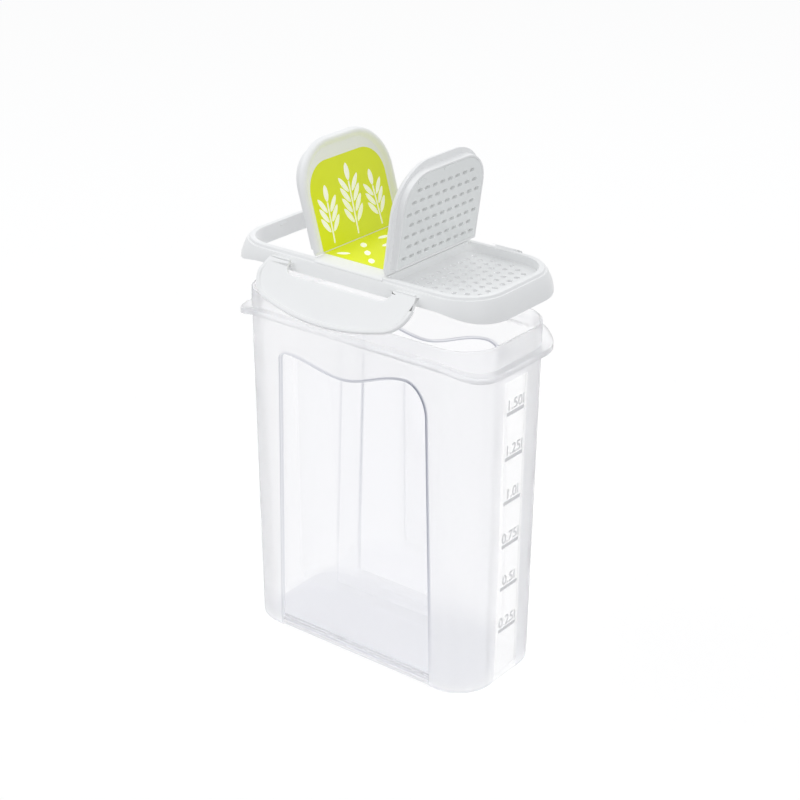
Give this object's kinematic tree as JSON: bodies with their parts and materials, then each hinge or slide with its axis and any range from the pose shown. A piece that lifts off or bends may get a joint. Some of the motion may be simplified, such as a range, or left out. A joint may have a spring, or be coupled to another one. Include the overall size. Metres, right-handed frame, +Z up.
{
  "type": "shaker container",
  "caption": "Tall clear rounded container with a clip-on lid that has a pouring flap and a perforated shaker flap, shown raised and open.",
  "frame": {"origin": "centre of the container's base, on the surface it stands on", "axes": "+X along the long side towards the shaker flap, -Y to the front, +Z up"},
  "size_m": [0.1652, 0.1242, 0.2806],
  "materials": {
    "clear_wall": "frosted clear moulded plastic",
    "grey_print": "printed ink",
    "white_moulded": "satin moulded plastic",
    "white_insert": "satin moulded plastic",
    "green_label": "in-mould label"
  },
  "bodies": {
    "container": {"container": "clear_wall", "litre_marks": "grey_print"},
    "lid": {"lid_frame": "white_moulded", "sieve_plate": "white_insert", "pour_flap_film": "white_moulded", "shaker_flap_film": "white_moulded", "flap_catches": "white_moulded", "bridge_label": "green_label", "front_wing_films": "white_moulded", "rear_wing_films": "white_moulded"},
    "pour_flap": {"pour_flap": "white_moulded", "pour_flap_label": "green_label"},
    "shaker_flap": {"shaker_flap": "white_moulded", "shaker_flap_label": "green_label", "shaker_insert": "white_insert", "insert_clips": "white_insert"},
    "front_wing": {"front_wing": "white_moulded"},
    "rear_wing": {"rear_wing": "white_moulded"}
  },
  "joints": [
    {"name": "lid_lift", "type": "slide", "parent": "container", "child": "lid", "axis": [0, 0, 1], "range_m": [-0.0266, 0.08]},
    {"name": "pour_flap_hinge", "type": "hinge", "parent": "lid", "child": "pour_flap", "pos_m": [-0.022, 0, 0.2251], "axis": [0, 1, 0], "range_deg": [-74, 26]},
    {"name": "shaker_flap_hinge", "type": "hinge", "parent": "lid", "child": "shaker_flap", "pos_m": [0.022, 0, 0.2251], "axis": [0, -1, 0], "range_deg": [-82, 18]},
    {"name": "front_wing_hinge", "type": "hinge", "parent": "lid", "child": "front_wing", "pos_m": [0, -0.0419, 0.2222], "axis": [-1, 0, 0], "range_deg": [-42, 58]},
    {"name": "rear_wing_hinge", "type": "hinge", "parent": "lid", "child": "rear_wing", "pos_m": [0, 0.0419, 0.2222], "axis": [1, 0, 0], "range_deg": [-42, 58]}
  ]
}
